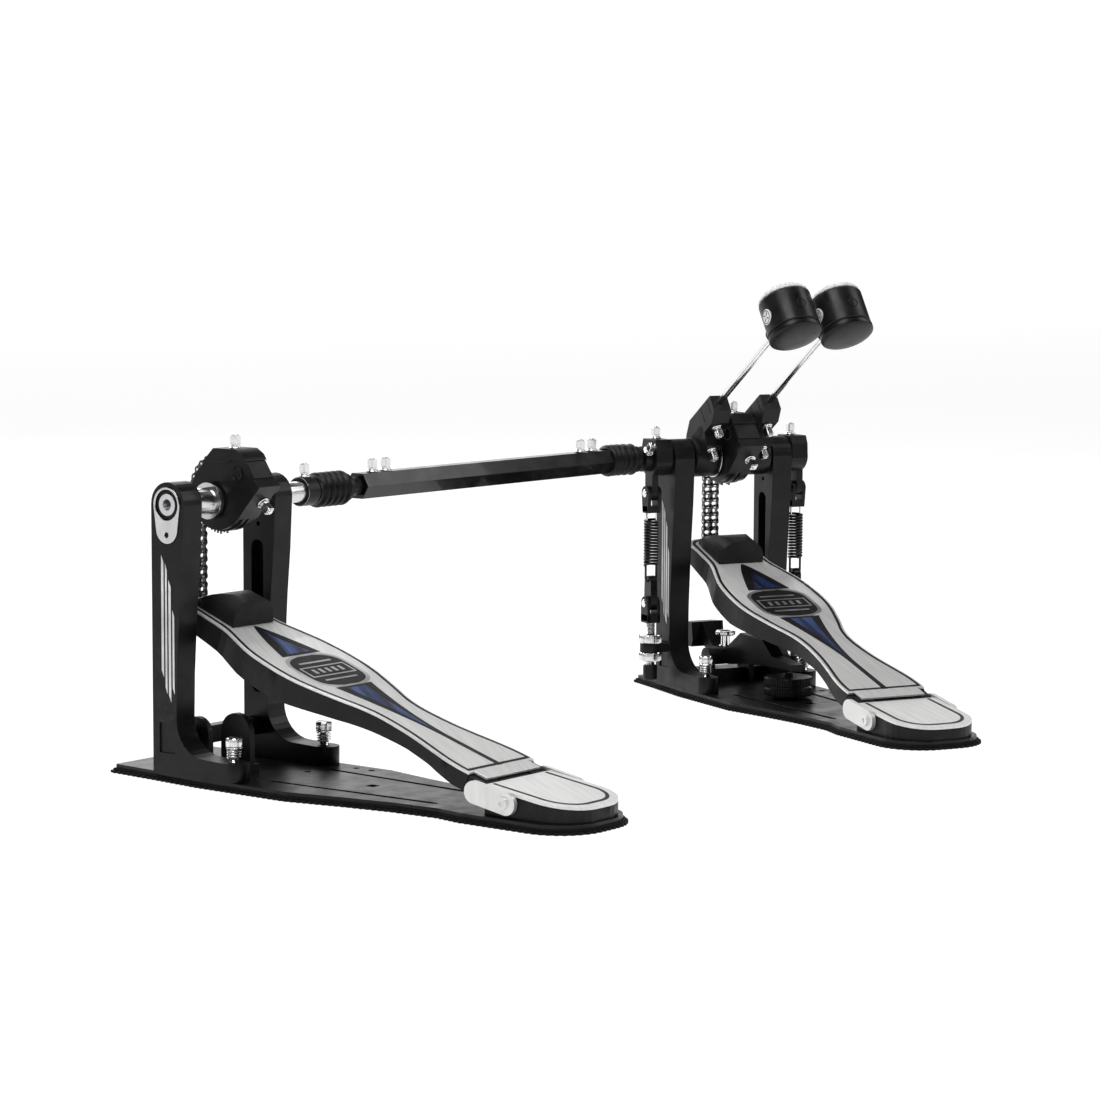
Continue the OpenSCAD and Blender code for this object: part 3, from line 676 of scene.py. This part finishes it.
def chain_run(bm, points):
    outer, inner = (-7.0, 7.0, 0.0), (-6.0, 6.0, -1.05, 1.05)
    for i, (a, b) in enumerate(zip(points, points[1:])):
        link_plates(bm, a, b, outer if i % 2 else inner)
    for point in points:
        at = move(0, point.x, point.y) @ turn(90, "Y")
        for middle in (-3.5, 3.5):
            lathe(bm, disc(1.95, middle - 1.8, middle + 1.8, 0.6), at, 16, material=1)
        lathe(bm, disc(1.1, -7.5, 7.5, 0.3), at, 14, material=1)


def chain(prefix, place, axle_body):
    """The hanging strand, which is given no body to ride on, and the links wrapped on the cam."""
    strand = [Vector((STRAND_Y, STRAND_TOP - CHAIN_PITCH * i)) for i in range(STRAND_LINKS + 1)]
    bm = bmesh.new()
    chain_run(bm, strand)
    finish = [MAT["chain_steel"], MAT["bright_steel"]]
    obj = piece(prefix + "_chain_strand", bm, finish, None, [prefix + "_chain"], place)
    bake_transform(obj)
    wrapped = math.degrees(CHAIN_PITCH / CAM_RADIUS) * WRAP_LINKS
    wrap = [Vector(p) for p in arc((CAM_CENTER.y, CAM_CENTER.z), CAM_RADIUS, 0, wrapped, WRAP_LINKS)]
    bm = bmesh.new()
    chain_run(bm, wrap)
    piece(prefix + "_chain_wrap", bm, finish, axle_body, place=place)


def sprocket(prefix, place, body):
    """Toothed discs under the chain, and the cap, lips and bosses of the clamp block."""
    keep(prefix + "_cam", "powder_coat", 0.9)
    teeth = 28
    outline = []
    for i in range(teeth):
        for reach, part in ((27.0, 0.0), (27.2, 0.28), (29.6, 0.42), (29.6, 0.58), (27.2, 0.72)):
            angle = math.radians(-88 + 176 * (i + part) / teeth)
            outline.append((CAM_CENTER.y + reach * math.cos(angle), CAM_CENTER.z + reach * math.sin(angle)))
    outline.append((CAM_CENTER.y, CAM_CENTER.z + 20))
    outline.append((CAM_CENTER.y, CAM_CENTER.z - 20))
    bm = bmesh.new()
    for x in (-3.5, 3.5):
        prism(bm, outline, x - 0.9, x + 0.9)
    piece(prefix + "_sprocket", bm, MAT["chain_steel"], body, place=place, edges=0.2)
    # cap over the top of the block, two lips down its heel side, and a boss on each flat
    bm = bmesh.new()
    cap = [(8.5, AXLE_Z + 28.2), (4.6, AXLE_Z + 33), (-1.4, AXLE_Z + 38.9), (-24.2, AXLE_Z + 38.9),
           (-30.8, AXLE_Z + 34.8), (-33.6, AXLE_Z + 30.6), (-20, AXLE_Z + 30.6), (-16, AXLE_Z + 28.2)]
    prism(bm, cap, -11.9, 11.9)
    lip = [(-33.9, AXLE_Z + 29.6), (-41.6, AXLE_Z + 18.4), (-40.2, AXLE_Z + 17.4), (-32.6, AXLE_Z + 28.8)]
    prism(bm, lip, -10.4, 10.4)
    low_lip = [(-42.4, AXLE_Z + 17.4), (-47.8, AXLE_Z + 12.3), (-43, AXLE_Z + 6.4), (-38, AXLE_Z + 12)]
    prism(bm, low_lip, -11.6, 11.6)
    for turned in (90, -90):
        lathe(bm, [(0.01, 10.5), (5.4, 10.5), (5.4, 11.9), (4.8, 12.3), (4.2, 11.6), (0.01, 11.6)],
              move(0, -25, AXLE_Z + 21) @ turn(turned, "Y"), 36)
    piece(prefix + "_cam_cap", bm, MAT["powder_coat"], body, place=place, edges=0.6, steps=3)


def pedal(prefix, place):
    upright_body, board_body, axle_body = prefix + "_frame", prefix + "_footboard", prefix + "_axle"
    base(prefix, place, upright_body)
    keep(prefix + "_uprights", "powder_coat", 1.4, 3)
    keep(prefix + "_bearings", "axle_steel", 0.4)
    stripes(prefix, place, upright_body)
    heel(prefix, place, upright_body)
    board(prefix, place, board_body)
    chain(prefix, place, axle_body)
    sprocket(prefix, place, axle_body)
    for side, flip in (("right", MAIN), ("left", FLIP_X)):
        spur(f"{prefix}_{side}_spur", place @ flip)


def spur(node, place):
    """Spike, knurled slotted head with painted shade in its slot, and the coil under it."""
    at = place @ move(SPUR_X, -56)
    bm = bmesh.new()
    lathe(bm, [(0.3, 0.6), (1.0, 1.2), (3.8, 6.5)], at, 32)
    thread = [(3.8 if i % 2 else 3.4, 6.5 + i * 0.62) for i in range(40)]
    lathe(bm, thread, at, 28)
    lathe(bm, disc(6.2, 30.6, 31.8), at)
    knurled(bm, 6.0, 31.6, 38.4, at, 28, depth=0.45)
    piece(node + "_screw", bm, MAT["bright_steel"], node, [node])
    # a thin black bar across the head: painted shade in its slot
    bm = bmesh.new()
    prism(bm, [(-5.4, 38.3), (5.4, 38.3), (5.4, 38.45), (-5.4, 38.45)], -0.7, 0.7, at)
    piece(node + "_slot", bm, SHADE_BLACK, node)
    bm = bmesh.new()
    tube(bm, [at @ p for p in helix(0, 4.9, 23.4, 30.0, 3.5)], 0.62)
    piece(node + "_coil", bm, MAT["bright_steel"], node)


# ---------- beaters and springs ----------


def beater(side, x):
    body = side + "_beater"
    at = rod_frame(x)
    head = at @ move(z=HEAD_T) @ turn(90, "X")
    keep(side + "_beater_rod", "bright_steel", 0.5)
    keep(side + "_beater_hub", "powder_coat", 1.2, 3)
    # thin black outlines on both faces of the hub: painted shade in its oval recess and two grooves
    bm = bmesh.new()
    slot_shade = arc((-12, 26), 4.2, 0, 180, 10) + arc((-12, 12), 4.2, 180, 360, 10)
    for face in (-8.62, 8.42):
        prism(bm, slot_shade, face, face + 0.2, at)
        for low in (36, 49):
            line = [(-9, low), (5.2, low), (5.2, low + 0.9), (-9, low + 0.9)]
            prism(bm, line, face, face + 0.2, at)
    piece(side + "_hub_recess_shade", bm, SHADE_BLACK, {"right": "main_axle", "left": "left_drive"}[side])
    bm = bmesh.new()
    dome = [(22.7 * math.cos(a), 18.4 + 4.1 * math.sin(a)) for a in (math.radians(9 * i) for i in range(10))]
    lathe(bm, [(0.01, -16), (21.4, -16), (22.3, -15), (22.3, 12.6), (21.6, 13.4), (21.0, 13.5), (21.0, 14.7),
               (22.0, 14.9), (22.7, 15.6)] + dome + [(0.01, 22.5)], head, 72)
    lathe(bm, [(0.01, -22), (6.9, -22), (7.5, -23), (7.5, -30.5), (6.6, -31.3), (0.01, -31.3)],
          at @ move(z=HEAD_T), 40)
    piece(side + "_head_body", bm, MAT["head_plastic"], body, [side + "_beater_head"])
    bm = bmesh.new()
    lathe(bm, [(0.01, -16.1), (21.9, -16.1), (22.0, -17.5), (21.6, -19.6), (19.6, -22.2), (15.5, -24.1),
               (10, -24.8), (5, -25.0), (0.01, -25.0)], head, 72)
    top = piece(side + "_felt_dome", bm, MAT["felt_white"], body, [side + "_beater_felt"],
                angle=60)
    top.modifiers.new("finer", "SUBSURF").levels = 1
    top.modifiers["finer"].render_levels = 2
    fuzz = bpy.data.textures.new(side + "_fuzz", "CLOUDS")
    fuzz.noise_scale = 0.0016
    shake = top.modifiers.new("fuzz", "DISPLACE")
    shake.texture = fuzz
    shake.strength = 0.0004
    shake.mid_level = 0.9
    on_side = head @ turn(-90, "Y")
    bm = bmesh.new()
    lathe(bm, [(0.01, 19), (6.6, 19), (6.6, 22.2), (6.1, 22.6), (0.01, 22.6)], on_side, 40)
    piece(side + "_weight_disc", bm, WHITE_INK, body)
    bm = bmesh.new()
    lathe(bm, ring(5.0, 5.6, 22.55, 22.75, 0.05), on_side, 40, closed=True)
    for angle in range(0, 360, 90):
        mark = [(1.2, -0.4), (4.0, -0.4), (4.0, 0.4), (1.2, 0.4)]
        slab(bm, mark, 22.55, 22.75, on_side @ turn(angle + 45, "Z"))
    piece(side + "_weight_marks", bm, INK, body)
    # a black plug in the side of the head: painted shade in its hole
    bm = bmesh.new()
    lathe(bm, [(0.01, 20.6), (3.0, 20.6), (3.0, 22.0), (4.3, 22.45), (4.3, 20.0), (0.01, 20.0)],
          head @ turn(-90, "X"), 36)
    piece(side + "_head_hole_shade", bm, SHADE_BLACK, body)


def clevis_pin(bm, x, z):
    """A pin along X with a flat head at each end."""
    half = [(2.4, 6.4), (3.4, 6.5), (3.4, 7.0), (2.9, 7.6), (0.01, 7.6)]
    profile = [(radius, -height) for radius, height in reversed(half)] + half
    lathe(bm, profile, move(x, 0, z) @ turn(90, "Y"), 28)


def wire_loop(bm, x, half):
    """An end loop of the spring in (x, z), drawn from one half and its mirror image."""
    path = [(-reach, z) for reach, z in half] + half[::-1]
    tube(bm, [Vector((x + reach, 0, z)) for reach, z in path], 1.0)


def spring_side(side, flip):
    """Link, coil, clevis, threaded rod, sleeve and nuts on one side of the main pedal."""
    x = SPRING_X
    black, steel = MAT["powder_coat"], MAT["bright_steel"]
    keep(side + "_rocker", "powder_coat", 1.2, 3)
    # upper link with its pin, and the wire loop that hooks the coil
    bm = bmesh.new()
    cheek = [(6.2, LINK_PIN_Z)] + arc((0, LINK_PIN_Z), 6.4, 0, 180, 14) + [(-4.6, 159), (4.6, 159)]
    for low in (x - 6.4, x + 3.3):
        prism(bm, cheek, low, low + 3.1)
    prism(bm, [(-4.4, 158), (4.4, 158), (4.4, 164), (-4.4, 164)], x - 6.4, x + 6.4)
    piece(side + "_link_clevis", bm, black, side + "_spring_link", [side + "_spring_link"],
          flip, edges=0.7, steps=3)
    bm = bmesh.new()
    clevis_pin(bm, x, LINK_PIN_Z)
    wire_loop(bm, x, [(4.6, 148), (4.6, 158), (4.2, 160.4), (2.8, 161)])
    piece(side + "_link_pin", bm, steel, side + "_spring_link", place=flip)
    # coil and its lower eye
    bm = bmesh.new()
    tube(bm, helix(x, 5.6, 112, 152, 15.5), 1.15, 8)
    wire_loop(bm, x, [(5.2, 113), (5.2, 101), (4.6, 98.8), (3, 98)])
    prism(bm, arc((0, 97.5), 5.6, 0, 180, 12) + arc((0, ANCHOR_PIN_Z), 6.2, 180, 360, 14), x - 3.2, x + 3.2)
    piece(side + "_spring_coil", bm, MAT["spring_steel"], side + "_spring",
          [side + "_spring"], flip)
    # lower clevis, threaded rod and sleeve
    bm = bmesh.new()
    for low in (x - 6.4, x + 3.3):
        prism(bm, arc((0, ANCHOR_PIN_Z), 6.4, 0, 180, 14) + [(-6.4, 63), (6.4, 63)], low, low + 3.1)
    prism(bm, [(-6.4, 62), (6.4, 62), (6.4, 70), (-6.4, 70)], x - 6.4, x + 6.4)
    piece(side + "_anchor_clevis", bm, black, side + "_tension_rod", [side + "_tension_rod"],
          flip, edges=0.8, steps=3)
    bm = bmesh.new()
    clevis_pin(bm, x, ANCHOR_PIN_Z)
    lathe(bm, [(4.0 if i % 2 else 3.45, 24 + i * 0.6) for i in range(64)], move(x), 28)
    piece(side + "_threaded_rod", bm, steel, side + "_tension_rod", place=flip)
    bm = bmesh.new()
    lathe(bm, [(0.01, 12), (5.4, 12), (6.1, 12.8), (6.1, 24.2), (5.2, 25), (0.01, 25)], move(x), 40)
    piece(side + "_rod_sleeve", bm, black, side + "_tension_rod", place=flip)
    # knurled nuts
    bm = bmesh.new()
    for low in (28.8, 44.2):
        knurled(bm, 10, low, low + 7.4, move(x), 48, inner=4.1)
    piece(side + "_knurled_nuts", bm, steel, side + "_tension_nuts",
          [side + "_tension_nuts"], flip)


# ---------- hoop clamp ----------


def hoop_clamp():
    keep("hoop_clamp_arm", "powder_coat", 1.2, 3)
    bm = bmesh.new()
    at = move(0, WHEEL_Y)
    knurled(bm, 21, 9.5, 16, at, 60, inner=4.2, depth=0.8)
    knurled(bm, 21, 18, 25, at, 60, inner=4.2, depth=0.8)
    lathe(bm, ring(4.2, 18.5, 15.6, 18.4), at, closed=True)
    piece("clamp_wheel_knurled", bm, MAT["head_plastic"], "hoop_clamp_wheel",
          ["hoop_clamp_wheel"])
    bm = bmesh.new()
    at = move(0, -4, 0.5)
    lathe(bm, [(0.01, 37.3), (5.2, 37.3), (5.5, 37.6), (5.5, 39), (4, 39.4), (4, 47), (0.01, 47)], at)
    knurled(bm, 9, 47, 51, at, 30, depth=0.6)
    lathe(bm, [(0.01, 50.8), (5, 50.8), (4.6, 51.0), (0.01, 51.0)], at)
    piece("clamp_thumbscrew_knurled", bm, MAT["bright_steel"], "hoop_clamp_thumbscrew",
          ["hoop_clamp_thumbscrew"])


# ---------- linkage ----------


def boot_radius(u):
    """Five rounded ribs between plain collars."""
    if u < 0.07 or u > 0.93:
        return 11.2
    wave = 0.5 - 0.5 * math.cos(math.tau * 5 * (u - 0.07) / 0.86)
    return 11.0 + 2.6 * wave ** 0.6


def boot(name, node, ring_place):
    """Rubber bellows: rings along a bent line, with their radius from boot_radius."""
    steps, sides = 90, 48
    rings = []
    for inner in (False, True):
        for i in range(steps + 1):
            u = i / steps if not inner else 1 - i / steps
            radius = 9.2 if inner else boot_radius(u)
            rings.append([ring_place(u) @ Vector((0, y, z)) for y, z in circle(radius, sides)])
    rings.append(list(rings[0]))
    bm = bmesh.new()
    loft(bm, rings, caps=False)
    bmesh.ops.remove_doubles(bm, verts=bm.verts, dist=0.001)
    obj = piece(name, bm, MAT["boot_rubber"], None, [node], angle=70)
    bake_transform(obj)


def linkage():
    keep("linkage_tube", "tube_black", 0.9, 3)
    keep("linkage_rod", "powder_coat", 0.5)
    keep("main_joint_cross", "axle_steel", 0.4)
    keep("slave_joint_cross", "axle_steel", 0.4)

    def slave_ring(u):
        return SLAVE @ AT_AXLE @ move(98 + 39 * u)

    def main_ring(u):
        bend = Matrix.Rotation(SLAVE_YAW * (1 - u), 4, "Z")
        return Matrix.Translation(MAIN_JOINT) @ bend @ move(-21.7 + 38.6 * u)

    boot("slave_boot_bellows", "slave_joint_boot", slave_ring)
    boot("main_boot_bellows", "main_joint_boot", main_ring)


def drive():
    keep("main_axle_shaft", "axle_steel", 0.4)
    keep("slave_axle_shaft", "axle_steel", 0.5)
    keep("left_drive_sleeve", "powder_coat", 0.5)
    bm = bmesh.new()
    lathe(bm, [(0.01, 83.8), (10.6, 83.8), (11.3, 84.5), (11.3, 96.6), (10.6, 97.3), (0.01, 97.3)],
          SLAVE @ AT_AXLE @ turn(90, "Y"))
    piece("slave_coupler_collar", bm, MAT["powder_coat"], "slave_axle")
    bm = bmesh.new()
    lathe(bm, ring(8.3, 10.9, -OUTER_X + 0.2, -OUTER_X + 0.9), SLAVE @ AT_AXLE @ turn(90, "Y"), closed=True)
    piece("slave_bearing_seal", bm, MAT["boot_rubber"], "slave_frame")
    bm = bmesh.new()
    lathe(bm, ring(8.2, 18.0, -13.4, -12.3), AT_AXLE @ turn(90, "Y"), closed=True)
    piece("left_hub_flange", bm, MAT["axle_steel"], "left_drive")
    tube_top = 11.4 * math.cos(math.radians(30))
    cam = [AT_AXLE @ move(0, -13, 38.3), AT_AXLE @ move(4, -36, -0.4) @ turn(131.12, "X")]

    def hub(x):
        return [rod_frame(x) @ move(0, h, t) @ turn(90, "X") for h, t in ((-16, 39), (-28, 21))]

    bolts("main_bolts", "main_axle", "main_key_bolts", cam + hub(BEATER_X) + [AT_AXLE @ move(68, 3, 17)])
    bolts("left_bolts", "left_drive", "left_key_bolts",
          hub(-BEATER_X) + [AT_AXLE @ move(-68, 3, 17), AT_AXLE @ move(-81) @ turn(50, "X") @ move(z=11)])
    bolts("slave_bolts", "slave_axle", "slave_key_bolts",
          [SLAVE @ p for p in cam + [AT_AXLE @ move(90.5, 0, 11)]])
    bolts("linkage_key_bolts", "linkage_tube", "linkage_bolts",
          [SLAVE @ AT_AXLE @ move(s, 0, tube_top) for s in (170, 186, LINKAGE_LEN - 56, LINKAGE_LEN - 40)])


# ---------- studio ----------


def studio_world():
    """White overhead and behind the object, grey in front, so that bright metal has dark sides."""
    world = bpy.data.worlds.new("studio")
    bpy.context.scene.world = world
    world.use_nodes = True
    tree = world.node_tree
    split = tree.nodes.new("ShaderNodeSeparateXYZ")
    tree.links.new(tree.nodes.new("ShaderNodeTexCoord").outputs["Generated"], split.inputs["Vector"])
    factors = []
    for axis, low, high, dark, light in (("Y", -0.7, 0.7, 0.28, 1.0), ("Z", 0.0, 0.75, 0.7, 1.25)):
        node = tree.nodes.new("ShaderNodeMapRange")
        for socket, value in (("From Min", low), ("From Max", high), ("To Min", dark), ("To Max", light)):
            node.inputs[socket].default_value = value
        tree.links.new(split.outputs[axis], node.inputs["Value"])
        factors.append(node.outputs["Result"])
    both = tree.nodes.new("ShaderNodeMath")
    both.operation = "MULTIPLY"
    for socket, factor in zip(both.inputs, factors):
        tree.links.new(factor, socket)
    tree.links.new(both.outputs[0], tree.nodes["Background"].inputs["Strength"])


def staged(name, outline, low, high, glow):
    """A plain slab that isn't part of the object, and gives off a soft light of its own."""
    bm = bmesh.new()
    slab(bm, outline, low, high)
    mesh = bpy.data.meshes.new(name)
    bm.to_mesh(mesh)
    bm.free()
    mesh.transform(Matrix.Scale(MM, 4))
    obj = put(name, mesh)
    n = Nodes(name + "_paper", 0.0, Specular_IOR_Level=0.05, Emission_Strength=glow,
              Emission_Color=(1, 1, 1, 1))
    n.set("Base Color", n.ramp(n.noise(3), [(0.2, (0.19, 0.19, 0.19)), (0.8, (0.21, 0.21, 0.21))]))
    n.set("Roughness", n.spread(n.noise(6), 0.8, 0.9))
    mesh.materials.append(n.material)


def studio():
    """Pale floor and backdrop, and four soft lights: places and sizes in metres, power in watts."""
    bpy.context.scene.view_settings.view_transform = "Standard"
    studio_world()
    staged("floor", [(-9000, -6000), (9000, -6000), (9000, 9000), (-9000, 9000)], -20, 0, 0.9)
    staged("backdrop", [(-9000, 8900), (9000, 8900), (9000, 9000), (-9000, 9000)], 0, 6000, 0.97)
    middle = Vector((-0.28, -0.12, 0.15))
    for name, place, size, power in (("key", (-1.4, -1.2, 2.2), 1.4, 34), ("fill", (1.8, -0.8, 1.4), 1.4, 15),
                                     ("back", (-0.3, 2.0, 1.8), 1.8, 34), ("top", (-0.3, 0.0, 2.4), 1.2, 20)):
        light = bpy.data.lights.new(name, "AREA")
        light.size = size
        light.energy = power
        obj = put(name, light)
        obj.location = place
        obj.rotation_euler = (middle - Vector(place)).to_track_quat("-Z", "Y").to_euler()


def camera():
    """Long lens from the front left, just above the pedals and looking slightly down."""
    azimuth, pitch, roll = (math.radians(a) for a in (27.01, 6.10, 0.32))
    level = math.cos(pitch)
    ahead = Vector((math.sin(azimuth) * level, math.cos(azimuth) * level, -math.sin(pitch)))
    right = Vector((math.cos(azimuth), -math.sin(azimuth), 0))
    up = right.cross(ahead)
    side = right * math.cos(roll) + up * math.sin(roll)
    top = up * math.cos(roll) - right * math.sin(roll)
    data = bpy.data.cameras.new("camera")
    data.lens = 106.6
    data.sensor_width = 36
    obj = put("camera", data)
    turned = Matrix((side, top, -ahead)).transposed().to_4x4()
    obj.matrix_world = Matrix.Translation((-1.4289, -2.4666, 0.4256)) @ turned
    bpy.context.scene.camera = obj


camera()
studio()
pedal("main", MAIN)
pedal("slave", SLAVE)
for side, x, flip in (("right", BEATER_X, MAIN), ("left", -BEATER_X, FLIP_X)):
    beater(side, x)
    spring_side(side, flip)
hoop_clamp()
linkage()
drive()
